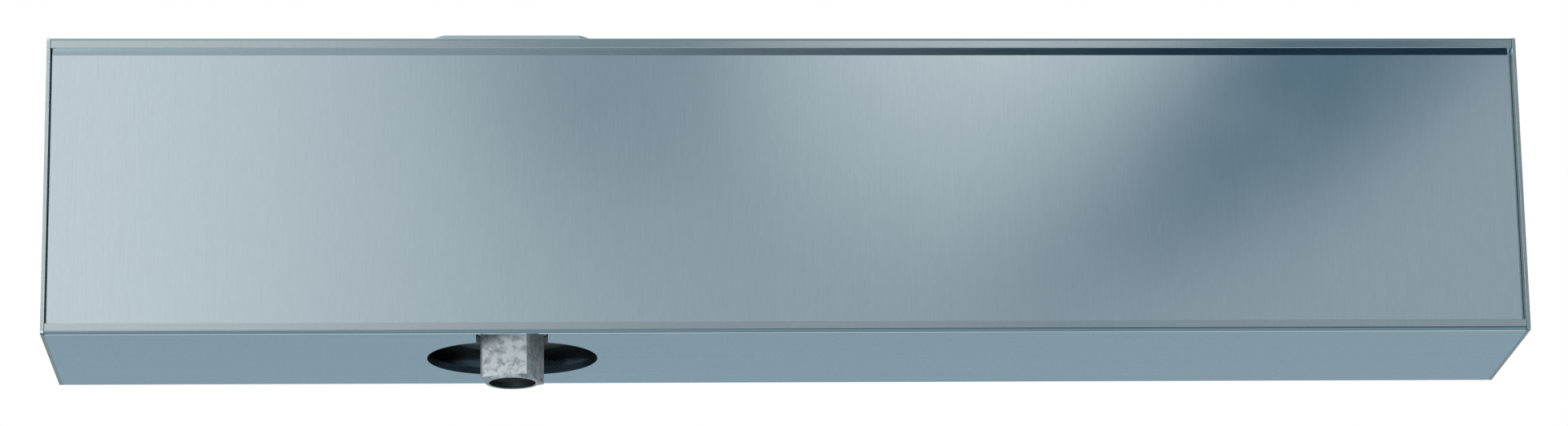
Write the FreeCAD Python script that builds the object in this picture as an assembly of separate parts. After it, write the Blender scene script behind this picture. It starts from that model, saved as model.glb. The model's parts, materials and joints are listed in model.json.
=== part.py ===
import FreeCAD, Part
import math
import os

# Overhead door closer: a rack and pinion hydraulic closer in a flat rectangular case.
# Millimetres. +X runs along the case, +Y goes into the door, +Z is up, and the front faces -Y.
# The origin is the centre of the door fixing holes, on the back plane of the case.

V = FreeCAD.Vector
X_AXIS = V(1, 0, 0)
Y_AXIS = V(0, 1, 0)
Z_AXIS = V(0, 0, 1)

# Fits shared by the whole unit
fit_gap = 0.02               # between pieces that are pressed or screwed together
running_gap = 0.03           # radial, between a shaft and what carries it
stack_gap = 0.2              # between pieces stacked along a shaft

# Rack and pinion
tooth_module = 1.5
pinion_teeth = 12
pressure_angle = math.radians(25.0)
dedendum_share = 1.25        # tooth depth below the pitch line, in modules
tooth_backlash = 0.12
rack_end_gap = 0.3           # how far the pinion reaches past each end of the rack teeth
opening_angle = math.radians(180.0)

# Spindle
journal_radius = 8.5
drive_square = 12.0
drive_corner_trim = 0.45     # taken off the corners of the square, along its diagonal
drive_angle = -17.5          # how far the square is turned at rest, in degrees
drive_drop = 5.3             # how far the square stands out below the case
upper_stub = 3.0             # how far the upper square stands above the cast body
arm_thread_radius = 3.4
arm_thread_depth = 18.0
arm_sink_radius = 5.3        # straight mouth of the tapped hole, then a cone down to the thread
arm_sink_depth = 1.4
end_boss_radius = 6.2        # round tip turned on the end of each square
end_boss_length = 0.55

# Spindle bearings and seals
needle_radius = 1.0
needle_count = 18
cup_wall = 1.0
cup_lip = 0.8
bearing_length = 8.0
seal_length = 3.0
seal_groove = 1.2
bush_wall = 2.5
bush_cover = 1.3
bush_standoff = 0.1          # from the cylinder bore to the inner end of a bush
bush_hole_gap = 0.3
spanner_hole_radius = 0.9
spanner_hole_depth = 1.0
thrust_washer_gap = 0.1

# Cylinder and piston
bore_radius = 17.0
piston_gap = 0.05
back_web = 5.0
front_web = 3.4
left_head = 13.8
right_head = 14.4
slot_gap = 1.5               # room between the pinion and each end of the piston slot
spigot_gap = 0.6             # between the outer spring and the spigots that centre it
spring_spigot_length = 3.0
piston_ring_width = 3.0
piston_ring_depth = 1.9
check_inset = 8.0            # from the skin of the piston to the check valve
check_port_radius = 1.6
check_chamber_radius = 3.2
check_chamber_length = 8.0
check_ball_radius = 2.7
check_retainer_length = 1.6

# Closing springs
spring_length = 138.5
spring_side_gap = 1.2        # between the outer spring and the bore
outer_wire_radius = 2.3
outer_spring_turns = 13.0
inner_wire_radius = 1.5
inner_spring_turns = 18.0

# Closing force adjuster
power_screw_radius = 5.0
collar_radius = 9.0
collar_length = 4.0
power_washer_thickness = 1.0
power_screw_proud = 3.0
power_hex = 6.0
power_hex_depth = 7.0
plate_length = 12.0
plate_gap = 0.5
plate_travel = 15.0
plate_side_gap = 0.4
key_width = 5.0
key_height = 1.6
key_gap = 0.2

# Cylinder plugs
plug_thread_radius = 19.0
plug_thread_length = 12.0
plug_spigot_length = 7.0
plug_gap = 1.5
plug_hex = 12.0
plug_hex_depth = 6.0
ring_section = 0.8           # half thickness of the round seal rings
ring_slack = 0.05

# Speed valves
valve_radius = 3.9
valve_length = 15.0
valve_recess = 2.8
valve_slot_width = 1.0
valve_slot_depth = 1.2
valve_tip_length = 5.0
valve_tip_radius = 1.0
valve_ring_offset = 4.0      # from the head of the valve to its seal ring
gallery_radius = 1.2
first_valve_inset = 30.0
valve_pitch = 16.0
backcheck_offset = 25.0      # from the spindle axis, to the right

# Cast body
body_front_corner = 8.0
waist_wall = 5.0
waist_corner = 6.0
waist_left_gap = 20.0        # solid body kept to the right of the bush
waist_right_gap = 30.0       # solid body kept at the right end
foot_length = 24.0
foot_height = 1.0
body_screw_inset = 10.0
body_screw_radius = 2.5
body_screw_head_radius = 4.25
body_screw_head_length = 5.0
body_screw_sink = 12.0
body_screw_gap = 0.25
body_screw_hex = 4.0
body_screw_hex_depth = 2.5

# Case
back_wall = 3.0
case_wall = 1.6
body_gap = 0.6
lip_thickness = 1.2
lip_reach = 6.5
lip_setback = 4.3            # from the front of the channel to the free edge of its lips
leg_thickness = 1.2
cover_clearance = 0.2
cover_gap = 2.9              # from the cast body to the front edge of the channel
seam_gap = 0.2
rim_thickness = 1.5
rim_rounding = 0.8
rim_inner_rounding = 0.15
step_wall = 0.7              # of the cover, from its rims back to its sunk panel
panel_thickness = 1.0
panel_gap = 0.6              # from the cast body to the panel
leg_end_gap = 0.9
cover_side_gap = 0.15
end_plate_wall = 0.8
end_pocket = 31.2
end_flange = 12.0
end_flange_margin = 8.0
end_bend_radius = 1.0
end_corner_rounding = 0.6
end_screw_radius = 1.45
end_screw_head_radius = 2.8
end_screw_head_length = 1.9
end_screw_cross_length = 3.0
end_screw_cross_width = 0.7
end_screw_cross_depth = 1.2
end_screw_height = 14.0
screw_end_gap = 0.4          # from a screw end to the back plane
mount_hole_radius = 3.25
mount_inset = 22.0           # from the end of the case to the fixing holes
mount_height = 19.0          # from the middle of the case to the fixing holes
channel_inner_rounding = 1.5

# Arm openings in the top and bottom walls, and the cap on the unused one
opening_radius = 15.9
opening_run = 7.6            # between the centres of its two round ends
notch_gap = 0.35
leg_notch_margin = 2.0
cap_length = 44.0
cap_thickness = 1.3
cap_setback = 0.5
cap_margin = 3.0
cap_corner = 6.2
cap_rounding = 0.4
cap_skirt_gap = 0.2
cap_skirt_wall = 1.4
cap_skirt_depth = 2.2

# Worked out across the pinion
pitch_radius = tooth_module * pinion_teeth / 2
tip_radius = pitch_radius + tooth_module
root_radius = pitch_radius - dedendum_share * tooth_module
base_radius = pitch_radius * math.cos(pressure_angle)
piston_travel = pitch_radius * opening_angle
piston_radius = bore_radius - piston_gap
rack_tip = pitch_radius - tooth_module
rack_half_width = math.sqrt(piston_radius**2 - rack_tip**2)
pinion_half_face = rack_half_width + rack_end_gap

# Worked out along the spindle, from the bore outwards
needle_orbit = journal_radius + running_gap + needle_radius
cup_inner_radius = needle_orbit + needle_radius + running_gap
cup_outer_radius = cup_inner_radius + cup_wall
bush_cavity_radius = cup_outer_radius + fit_gap
bush_radius = bush_cavity_radius + bush_wall
bush_inner = bore_radius + bush_standoff
bearing_start = bush_inner + stack_gap
seal_start = bearing_start + bearing_length + stack_gap
bush_cover_start = seal_start + seal_length + stack_gap
body_half_height = bush_cover_start + bush_cover
lug_height = (bore_radius + body_half_height) / 2

# Worked out up the case
slot_width = leg_thickness + 2 * cover_clearance
lip_low = body_half_height + body_gap
lip_high = lip_low + lip_thickness
wall_inner = lip_high + slot_width
case_half_height = wall_inner + case_wall

# Worked out from the back plane to the front
axis_y = -(back_wall + back_web + bore_radius)
body_front = axis_y - bore_radius - front_web
channel_front = body_front - cover_gap
rim_back = channel_front - seam_gap
case_front = rim_back - rim_thickness
panel_back = body_front - panel_gap
panel_front = panel_back - panel_thickness
lip_front = channel_front + lip_setback
lip_back = lip_front + lip_reach
leg_back = lip_back - lip_thickness - leg_end_gap

# Worked out across the cylinder
check_offset = piston_radius - check_inset
outer_spring_radius = bore_radius - spring_side_gap - outer_wire_radius
outer_spring_inside = outer_spring_radius - outer_wire_radius
spring_spigot_radius = outer_spring_inside - spigot_gap
inner_spring_radius = (power_screw_radius + outer_spring_inside) / 2

# Worked out along the cylinder
plug_length = plug_thread_length + plug_spigot_length
slot_length = 2 * (tip_radius + slot_gap) + piston_travel
piston_length = left_head + slot_length + right_head
adjuster_length = plate_length + plate_gap + collar_length + power_washer_thickness
body_length = 2 * plug_length + plug_gap + piston_length + spring_length + adjuster_length
body_right = body_length / 2
body_left = -body_right
piston_left = body_left + plug_length + plug_gap
slot_left = piston_left + left_head
slot_right = slot_left + slot_length
piston_right = slot_right + right_head
spindle_x = slot_right - slot_gap - tip_radius
plate_left = piston_right + spring_length
plate_right = plate_left + plate_length
collar_left = plate_right + plate_gap
collar_right = collar_left + collar_length
washer_right = collar_right + power_washer_thickness
case_half_length = body_right + end_pocket + end_plate_wall
channel_half_length = case_half_length - end_plate_wall
screw_bore_radius = power_screw_radius + running_gap
notch_width = 2 * (drive_square / math.sqrt(2) - drive_corner_trim) + notch_gap


def block(x_range, y_range, z_range):
    low = V(min(x_range), min(y_range), min(z_range))
    high = V(max(x_range), max(y_range), max(z_range))
    return Part.makeBox(high.x - low.x, high.y - low.y, high.z - low.z, low)


def rod(start, end, radius):
    run = end - start
    return Part.makeCylinder(radius, run.Length, start, run)


def turned(profile, origin, axis):
    """Turn a closed outline of (distance along the axis, radius) points."""
    wire = Part.makePolygon([V(radius, 0, along) for along, radius in profile + profile[:1]])
    solid = Part.Face(wire).revolve(V(), Z_AXIS, 360)
    solid.Placement = FreeCAD.Placement(origin, FreeCAD.Rotation(Z_AXIS, axis))
    return solid


def sleeve(start, end, inner, outer, origin, axis):
    return turned([(start, inner), (end, inner), (end, outer), (start, outer)], origin, axis)


def hex_prism(start, end, across_flats):
    run = end - start
    corner = across_flats / math.sqrt(3)
    corners = [V(corner * math.cos(k * math.pi / 3), corner * math.sin(k * math.pi / 3), 0) for k in range(7)]
    solid = Part.Face(Part.makePolygon(corners)).extrude(V(0, 0, run.Length))
    solid.Placement = FreeCAD.Placement(start, FreeCAD.Rotation(Z_AXIS, run))
    return solid


def section_along_x(points, half_length):
    """Extrude a closed outline of (y, z) points along the case, both ways from its middle."""
    wire = Part.makePolygon([V(-half_length, y, z) for y, z in points + points[:1]])
    return Part.Face(wire).extrude(V(2 * half_length, 0, 0))


def edges_at(shape, wanted):
    """The straight edges whose middle point passes the test."""
    return [edge for edge in shape.Edges if wanted(edge.CenterOfMass)]


def near(value, target):
    return abs(value - target) < 1e-4


# Case

def slot_prism(inset, z_low, z_high):
    """Upright prism on the round-ended outline of the arm opening, drawn in by an inset."""
    radius = opening_radius - inset
    centres = (spindle_x - opening_run / 2, spindle_x + opening_run / 2)
    ends = [rod(V(x, axis_y, z_low), V(x, axis_y, z_high), radius) for x in centres]
    middle = block(centres, (axis_y - radius, axis_y + radius), (z_low, z_high))
    return middle.fuse(ends).removeSplitter()


def arm_opening(z_low, z_high):
    """Round-ended hole about the spindle, with a notch that runs out to the front edge."""
    notch = block(
        (spindle_x - notch_width / 2, spindle_x + notch_width / 2),
        (channel_front - case_wall, axis_y),
        (z_low, z_high),
    )
    return slot_prism(0, z_low, z_high).fuse(notch).removeSplitter()


def corner_points(x, z):
    return [(side * x, level * z) for side in (-1, 1) for level in (-1, 1)]


mount_points = corner_points(case_half_length - mount_inset, mount_height)
body_screw_points = corner_points(body_right - body_screw_inset, lug_height)
end_screw_points = corner_points(channel_half_length - end_flange / 2, end_screw_height)


def base_channel():
    lip_web = lip_back - lip_thickness
    upper = [
        (0, case_half_height),
        (channel_front, case_half_height),
        (channel_front, wall_inner),
        (lip_web, wall_inner),
        (lip_web, lip_high),
        (lip_front, lip_high),
        (lip_front, lip_low),
        (lip_back, lip_low),
        (lip_back, wall_inner),
        (-back_wall, wall_inner),
    ]
    lower = [(y, -z) for y, z in reversed(upper)]
    channel = section_along_x(upper + lower, channel_half_length)
    inner_corners = edges_at(channel, lambda c: near(c.y, -back_wall) and near(abs(c.z), wall_inner))
    channel = channel.makeFillet(channel_inner_rounding, inner_corners)
    cuts = [
        arm_opening(lip_low - body_gap, case_half_height + case_wall),
        arm_opening(-case_half_height - case_wall, -lip_low + body_gap),
    ]
    hole_sets = (
        (mount_points, mount_hole_radius),
        (body_screw_points, body_screw_radius + fit_gap),
        (end_screw_points, end_screw_radius + fit_gap),
    )
    for points, radius in hole_sets:
        cuts += [rod(V(x, -2 * back_wall, z), V(x, back_wall, z), radius) for x, z in points]
    return channel.cut(cuts)


def end_plate(side):
    inner = side * channel_half_length
    plate = block(
        (inner, side * case_half_length), (case_front, 0), (-case_half_height, case_half_height)
    )
    outer_corners = edges_at(plate, lambda c: near(c.y, case_front) and near(abs(c.z), case_half_height))
    plate = plate.makeFillet(end_corner_rounding, outer_corners)
    flange_half = wall_inner - end_flange_margin
    flange_top = -back_wall - end_plate_wall
    flange = block(
        (inner, inner - side * end_flange), (-back_wall, flange_top), (-flange_half, flange_half)
    )
    plate = plate.fuse(flange).removeSplitter()
    bend = edges_at(plate, lambda c: near(c.x, inner) and near(c.y, flange_top))
    plate = plate.makeFillet(end_bend_radius, bend)
    holes = [
        rod(V(x, 0, z), V(x, 2 * flange_top, z), end_screw_radius + fit_gap)
        for x, z in end_screw_points
        if x * side > 0
    ]
    return plate.cut(holes)


def pan_screw(x, z):
    seat = back_wall + end_plate_wall
    head_top = seat + end_screw_head_length
    dome = end_screw_head_length / 2
    profile = [
        (screw_end_gap, 0),
        (screw_end_gap, end_screw_radius),
        (seat, end_screw_radius),
        (seat, end_screw_head_radius),
        (head_top - dome, end_screw_head_radius),
        (head_top, end_screw_head_radius - dome),
        (head_top, 0),
    ]
    screw = turned(profile, V(x, 0, z), -Y_AXIS)
    reach, half = end_screw_cross_length / 2, end_screw_cross_width / 2
    slot_y = (-head_top, -head_top + end_screw_cross_depth)
    level = block((x - reach, x + reach), slot_y, (z - half, z + half))
    upright = block((x - half, x + half), slot_y, (z - reach, z + reach))
    return screw.cut([level, upright])


def front_cover():
    leg_outer = wall_inner - cover_clearance
    leg_inner = leg_outer - leg_thickness
    rim_inner = leg_outer - step_wall
    upper = [
        (panel_front, rim_inner),
        (case_front, rim_inner),
        (case_front, case_half_height),
        (rim_back, case_half_height),
        (rim_back, leg_outer),
        (leg_back, leg_outer),
        (leg_back, leg_inner),
        (panel_back, leg_inner),
    ]
    lower = [(y, -z) for y, z in reversed(upper)]
    cover = section_along_x(upper + lower, channel_half_length - cover_side_gap)
    outer_edges = edges_at(cover, lambda c: near(c.y, case_front) and near(abs(c.z), case_half_height))
    cover = cover.makeFillet(rim_rounding, outer_edges)
    inner_edges = edges_at(cover, lambda c: near(c.y, case_front) and near(abs(c.z), rim_inner))
    cover = cover.makeFillet(rim_inner_rounding, inner_edges)
    reach = notch_width / 2 + leg_notch_margin
    cuts = [
        block(
            (spindle_x - reach, spindle_x + reach),
            (panel_back, leg_back + leg_end_gap),
            (side * leg_inner, side * leg_outer),
        )
        for side in (-1, 1)
    ]
    return cover.cut(cuts)


def spindle_cap():
    top = case_half_height + cap_thickness
    plate = block(
        (spindle_x - cap_length / 2, spindle_x + cap_length / 2),
        (channel_front + cap_setback, axis_y + opening_radius + cap_margin),
        (case_half_height, top),
    )
    upright = edges_at(plate, lambda c: near(c.z, case_half_height + cap_thickness / 2))
    plate = plate.makeChamfer(cap_corner, upright)
    plate = plate.makeFillet(cap_rounding, edges_at(plate, lambda c: near(c.z, top)))
    skirt_low = case_half_height - cap_skirt_depth
    skirt = slot_prism(cap_skirt_gap, skirt_low, case_half_height)
    hollow = slot_prism(cap_skirt_gap + cap_skirt_wall, skirt_low, case_half_height)
    return plate.fuse(skirt.cut(hollow)).removeSplitter()


# Cast body and what closes it

valve_points = {
    "latching_valve": body_left + first_valve_inset,
    "closing_valve": body_left + first_valve_inset + valve_pitch,
    "backcheck_valve": spindle_x + backcheck_offset,
}
valve_head = body_front + valve_recess
valve_end = valve_head + valve_length


def closer_body():
    corners = [
        (-back_wall, body_half_height),
        (body_front, body_half_height),
        (body_front, -body_half_height),
        (-back_wall, -body_half_height),
    ]
    body = section_along_x(corners, body_right)
    front_edges = edges_at(body, lambda c: near(c.y, body_front) and near(c.x, 0))
    body = body.makeFillet(body_front_corner, front_edges)
    axis_start = V(2 * body_left, axis_y, 0)
    axis_end = V(2 * body_right, axis_y, 0)
    cuts = [rod(axis_start, axis_end, bore_radius)]
    cuts.append(rod(axis_start, V(body_left + plug_thread_length, axis_y, 0), plug_thread_radius))
    cuts.append(rod(V(body_right - plug_thread_length, axis_y, 0), axis_end, plug_thread_radius))
    cross_low = V(spindle_x, axis_y, -2 * body_half_height)
    cuts.append(rod(cross_low, V(spindle_x, axis_y, 2 * body_half_height), bush_radius + fit_gap))
    cuts.append(keyway())
    cuts += [waist(level) for level in (-1, 1)]
    half_foot_gap = body_right - foot_length
    cuts.append(
        block(
            (-half_foot_gap, half_foot_gap),
            (0, -back_wall - foot_height),
            (-2 * body_half_height, 2 * body_half_height),
        )
    )
    for x, z in body_screw_points:
        cuts.append(rod(V(x, 0, z), V(x, 2 * body_front, z), body_screw_radius + body_screw_gap))
        sink_floor = V(x, body_front + body_screw_sink, z)
        cuts.append(rod(sink_floor, V(x, 2 * body_front, z), body_screw_head_radius + body_screw_gap))
    for x in valve_points.values():
        valve_floor = V(x, valve_end, lug_height)
        cuts.append(rod(valve_floor, V(x, 2 * body_front, lug_height), valve_radius + running_gap))
        gallery_y = valve_end - valve_tip_length / 2
        cuts.append(rod(V(x, gallery_y, 0), V(x, gallery_y, lug_height), gallery_radius))
    return body.cut(cuts)


def keyway():
    half_width = key_width / 2 + key_gap
    return block(
        (plate_left - plate_travel - plate_gap, body_right - plug_thread_length),
        (axis_y, axis_y + bore_radius + key_height + key_gap),
        (-half_width, half_width),
    )


def waist(level):
    """Pocket that narrows the casting along the spring, above or below it."""
    low = level * (bore_radius + waist_wall)
    pocket = block(
        (spindle_x + bush_radius + waist_left_gap, body_right - waist_right_gap),
        (0, 2 * body_front),
        (low, 2 * level * body_half_height),
    )
    floor_edges = edges_at(pocket, lambda c: near(c.z, low) and near(c.y, body_front))
    return pocket.makeFillet(waist_corner, floor_edges)


def socket_screw(x, z):
    """Cap screw from its sunk head in the casting to its end in the back wall."""
    head_seat = -(body_front + body_screw_sink)
    head_top = head_seat + body_screw_head_length
    profile = [
        (screw_end_gap, 0),
        (screw_end_gap, body_screw_radius),
        (head_seat, body_screw_radius),
        (head_seat, body_screw_head_radius),
        (head_top, body_screw_head_radius),
        (head_top, 0),
    ]
    screw = turned(profile, V(x, 0, z), -Y_AXIS)
    return screw.cut(hex_prism(V(x, -head_top + body_screw_hex_depth, z), V(x, -head_top, z), body_screw_hex))


ring_groove_radius = piston_radius - 2 * ring_section - ring_slack
ring_groove_half = ring_section + 2 * ring_slack


def plug_profile():
    """Half outline of a cylinder plug, from its outer face inwards."""
    middle = plug_thread_length + plug_spigot_length / 2
    return [
        (0, 0),
        (0, plug_thread_radius - fit_gap),
        (plug_thread_length, plug_thread_radius - fit_gap),
        (plug_thread_length, piston_radius),
        (middle - ring_groove_half, piston_radius),
        (middle - ring_groove_half, ring_groove_radius),
        (middle + ring_groove_half, ring_groove_radius),
        (middle + ring_groove_half, piston_radius),
        (plug_length, piston_radius),
        (plug_length, 0),
    ]


def plug_seal(x, inward):
    middle = plug_thread_length + plug_spigot_length / 2
    ring_radius = piston_radius - ring_section
    return Part.makeTorus(ring_radius, ring_section, V(x + inward * middle, axis_y, 0), X_AXIS)


def left_end_plug():
    face = V(body_left, axis_y, 0)
    plug = turned(plug_profile(), face, X_AXIS)
    return plug.cut(hex_prism(face, face + X_AXIS * plug_hex_depth, plug_hex))


power_ring_radius = screw_bore_radius + ring_section + ring_slack


def right_end_plug():
    face = V(body_right, axis_y, 0)
    plug = turned(plug_profile(), face, -X_AXIS)
    middle = plug_length / 2
    groove = sleeve(
        middle - ring_groove_half,
        middle + ring_groove_half,
        power_screw_radius,
        power_ring_radius + ring_section + ring_slack,
        face,
        -X_AXIS,
    )
    return plug.cut([rod(face, face - X_AXIS * plug_length, screw_bore_radius), groove])


def power_screw_seal():
    return Part.makeTorus(power_ring_radius, ring_section, V(body_right - plug_length / 2, axis_y, 0), X_AXIS)


# Spindle and what carries it

def involute_point(radius, sign, centre_angle, half_thickness_angle):
    """Point of a tooth flank: it unwinds from the base circle, half a tooth away from the centre line."""
    unwind = math.tan(pressure_angle) - pressure_angle
    roll = math.acos(base_radius / radius)
    angle = centre_angle + sign * (half_thickness_angle + unwind - (math.tan(roll) - roll))
    return V(radius * math.cos(angle), radius * math.sin(angle), 0)


def arc_between(start, end, radius):
    middle = start + end
    middle.normalize()
    return Part.Arc(start, middle * radius, end).toShape()


def pinion_outline():
    half_thickness = (math.pi * tooth_module - tooth_backlash) / (4 * pitch_radius)
    flank_steps = 5
    flank_radii = [base_radius + (tip_radius - base_radius) * k / flank_steps for k in range(flank_steps + 1)]
    edges = []
    previous_root = first_root = None
    for tooth in range(pinion_teeth):
        centre = -math.pi / 2 + 2 * math.pi * tooth / pinion_teeth
        rising = [involute_point(radius, -1, centre, half_thickness) for radius in flank_radii]
        falling = [involute_point(radius, 1, centre, half_thickness) for radius in reversed(flank_radii)]
        root_in = rising[0] * (root_radius / base_radius)
        root_out = falling[-1] * (root_radius / base_radius)
        if previous_root:
            edges.append(arc_between(previous_root, root_in, root_radius))
        else:
            first_root = root_in
        edges.append(Part.LineSegment(root_in, rising[0]).toShape())
        edges.append(flank_curve(rising))
        edges.append(arc_between(rising[-1], falling[0], tip_radius))
        edges.append(flank_curve(falling))
        edges.append(Part.LineSegment(falling[-1], root_out).toShape())
        previous_root = root_out
    edges.append(arc_between(previous_root, first_root, root_radius))
    return Part.Face(Part.Wire(Part.__sortEdges__(edges)))


def flank_curve(points):
    curve = Part.BSplineCurve()
    curve.interpolate(points)
    return curve.toShape()


drive_end = -(case_half_height + drive_drop)
stub_end = body_half_height + upper_stub
boss_low = drive_end - end_boss_length
boss_high = stub_end + end_boss_length
arm_thread_start = arm_sink_depth + arm_sink_radius - arm_thread_radius


def pinion_spindle():
    face_low = V(0, 0, -pinion_half_face)
    face_high = V(0, 0, pinion_half_face)
    teeth = pinion_outline().extrude(face_high - face_low)
    teeth.translate(face_low)
    journal = rod(V(0, 0, -bush_cover_start), V(0, 0, bush_cover_start), journal_radius)
    journal = journal.cut(rod(face_low, face_high, journal_radius))
    half = drive_square / 2
    squares = block((-half, half), (-half, half), (drive_end, stub_end))
    squares.rotate(V(), Z_AXIS, drive_angle)
    corner_radius = drive_square / math.sqrt(2) - drive_corner_trim
    squares = squares.common(rod(V(0, 0, drive_end), V(0, 0, stub_end), corner_radius))
    squares = squares.cut(rod(face_low, face_high, drive_square))
    lower_boss = rod(V(0, 0, boss_low), V(0, 0, drive_end), end_boss_radius)
    upper_boss = rod(V(0, 0, stub_end), V(0, 0, boss_high), end_boss_radius)
    spindle = teeth.fuse([journal, squares, lower_boss, upper_boss]).removeSplitter()
    hole = [
        (0, 0),
        (0, arm_sink_radius),
        (arm_sink_depth, arm_sink_radius),
        (arm_thread_start, arm_thread_radius),
        (arm_thread_depth, arm_thread_radius),
        (arm_thread_depth + arm_thread_radius / 2, 0),
    ]
    lower_hole = turned(hole, V(0, 0, boss_low), Z_AXIS)
    upper_hole = turned(hole, V(0, 0, boss_high), -Z_AXIS)
    spindle = spindle.cut([lower_hole, upper_hole])
    spindle.translate(V(spindle_x, axis_y, 0))
    return spindle


def spindle_axis(level):
    """Where the upper or lower spindle pieces are turned from: the bore axis, upwards or downwards."""
    return V(spindle_x, axis_y, 0), Z_AXIS * level


def bearing_bush(level):
    origin, axis = spindle_axis(level)
    groove = (bush_inner + body_half_height) / 2
    groove_radius = bush_radius - 2 * ring_section + ring_slack
    profile = [
        (bush_inner, bush_cavity_radius),
        (bush_cover_start, bush_cavity_radius),
        (bush_cover_start, journal_radius + bush_hole_gap),
        (body_half_height, journal_radius + bush_hole_gap),
        (body_half_height, bush_radius),
        (groove + ring_groove_half, bush_radius),
        (groove + ring_groove_half, groove_radius),
        (groove - ring_groove_half, groove_radius),
        (groove - ring_groove_half, bush_radius),
        (bush_inner, bush_radius),
    ]
    bush = turned(profile, origin, axis)
    reach = (bush_cavity_radius + bush_radius) / 2
    holes = []
    for side in (-1, 1):
        top = origin + V(side * reach, 0, level * body_half_height)
        holes.append(rod(top, top - axis * spanner_hole_depth, spanner_hole_radius))
    return bush.cut(holes)


def bush_seal(level):
    groove = level * (bush_inner + body_half_height) / 2
    ring_radius = bush_radius - ring_section + ring_slack
    return Part.makeTorus(ring_radius, ring_section - ring_slack, V(spindle_x, axis_y, groove), Z_AXIS)


def needle_bearing(level):
    """Drawn cup with a lip at each end, and its needles."""
    origin, axis = spindle_axis(level)
    end = bearing_start + bearing_length
    profile = [
        (bearing_start, needle_orbit),
        (bearing_start + cup_lip, needle_orbit),
        (bearing_start + cup_lip, cup_inner_radius),
        (end - cup_lip, cup_inner_radius),
        (end - cup_lip, needle_orbit),
        (end, needle_orbit),
        (end, cup_outer_radius),
        (bearing_start, cup_outer_radius),
    ]
    pieces = [turned(profile, origin, axis)]
    for k in range(needle_count):
        angle = 2 * math.pi * k / needle_count
        foot = origin + V(needle_orbit * math.cos(angle), needle_orbit * math.sin(angle), 0)
        start = foot + axis * (bearing_start + cup_lip + fit_gap)
        pieces.append(rod(start, foot + axis * (end - cup_lip - fit_gap), needle_radius))
    return Part.makeCompound(pieces)


def shaft_seal(level):
    """Lip seal, hollowed on its oil side."""
    origin, axis = spindle_axis(level)
    inner = journal_radius + running_gap
    third = (cup_outer_radius - inner) / 3
    profile = [
        (seal_start, inner),
        (seal_start + seal_length, inner),
        (seal_start + seal_length, cup_outer_radius),
        (seal_start, cup_outer_radius),
        (seal_start, cup_outer_radius - third),
        (seal_start + seal_groove, cup_outer_radius - third),
        (seal_start + seal_groove, inner + third),
        (seal_start, inner + third / 2),
    ]
    return turned(profile, origin, axis)


def thrust_washer(level):
    origin, axis = spindle_axis(level)
    start = pinion_half_face + thrust_washer_gap
    end = bush_inner - thrust_washer_gap
    return sleeve(start, end, journal_radius + running_gap, tip_radius + slot_gap / 2, origin, axis)


# Piston, springs and adjuster

def rack_slot():
    """Slot through the piston: a plain wall behind the pinion and the rack in front of it."""
    pitch_line = axis_y - pitch_radius
    tip_line = axis_y - rack_tip
    root_line = pitch_line - dedendum_share * tooth_module
    pitch = math.pi * tooth_module
    gap = (pitch + tooth_backlash / 2) / 2
    slope = math.tan(pressure_angle)
    tip_half = gap / 2 + tooth_module * slope
    root_half = gap / 2 - dedendum_share * tooth_module * slope
    first = math.ceil((slot_left + tip_half - spindle_x) / pitch)
    last = math.floor((slot_right - tip_half - spindle_x) / pitch)
    outline = [(slot_left, axis_y + tip_radius + slot_gap), (slot_left, tip_line)]
    for k in range(first, last + 1):
        middle = spindle_x + k * pitch
        outline += [
            (middle - tip_half, tip_line),
            (middle - root_half, root_line),
            (middle + root_half, root_line),
            (middle + tip_half, tip_line),
        ]
    outline += [(slot_right, tip_line), (slot_right, axis_y + tip_radius + slot_gap)]
    points = [V(x, y, -bore_radius) for x, y in outline + outline[:1]]
    return Part.Face(Part.makePolygon(points)).extrude(V(0, 0, 2 * bore_radius))


check_start = slot_left - check_chamber_length
check_axis = V(0, axis_y, check_offset)


def piston():
    ring_end = piston_left + left_head / 2 + piston_ring_width / 2
    ring_floor = piston_radius - piston_ring_depth
    spigot_end = piston_right + spring_spigot_length
    profile = [
        (piston_left, 0),
        (piston_left, piston_radius),
        (ring_end - piston_ring_width, piston_radius),
        (ring_end - piston_ring_width, ring_floor),
        (ring_end, ring_floor),
        (ring_end, piston_radius),
        (piston_right, piston_radius),
        (piston_right, spring_spigot_radius),
        (spigot_end, spring_spigot_radius),
        (spigot_end, 0),
    ]
    body = turned(profile, V(0, axis_y, 0), X_AXIS)
    cone = check_chamber_radius - check_port_radius
    valve = [
        (2 * piston_left, 0),
        (2 * piston_left, check_port_radius),
        (check_start - cone, check_port_radius),
        (check_start, check_chamber_radius),
        (slot_right - slot_gap, check_chamber_radius),
        (slot_right - slot_gap, 0),
    ]
    return body.cut([rack_slot(), turned(valve, check_axis, X_AXIS)])


def piston_seal():
    start = piston_left + left_head / 2 - piston_ring_width / 2 + ring_slack
    floor = piston_radius - piston_ring_depth + ring_slack
    width = piston_ring_width - 2 * ring_slack
    return sleeve(start, start + width, floor, piston_radius, V(0, axis_y, 0), X_AXIS)


def check_ball():
    """The ball rests on the cone at the end of its chamber."""
    gap_to_seat = check_ball_radius * math.sqrt(2) - check_chamber_radius
    return Part.makeSphere(check_ball_radius, check_axis + V(check_start + gap_to_seat + ring_slack, 0, 0))


def check_retainer():
    start = slot_left - check_retainer_length
    outer = check_chamber_radius - fit_gap
    return sleeve(start, slot_left, check_port_radius, outer, check_axis, X_AXIS)


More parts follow.
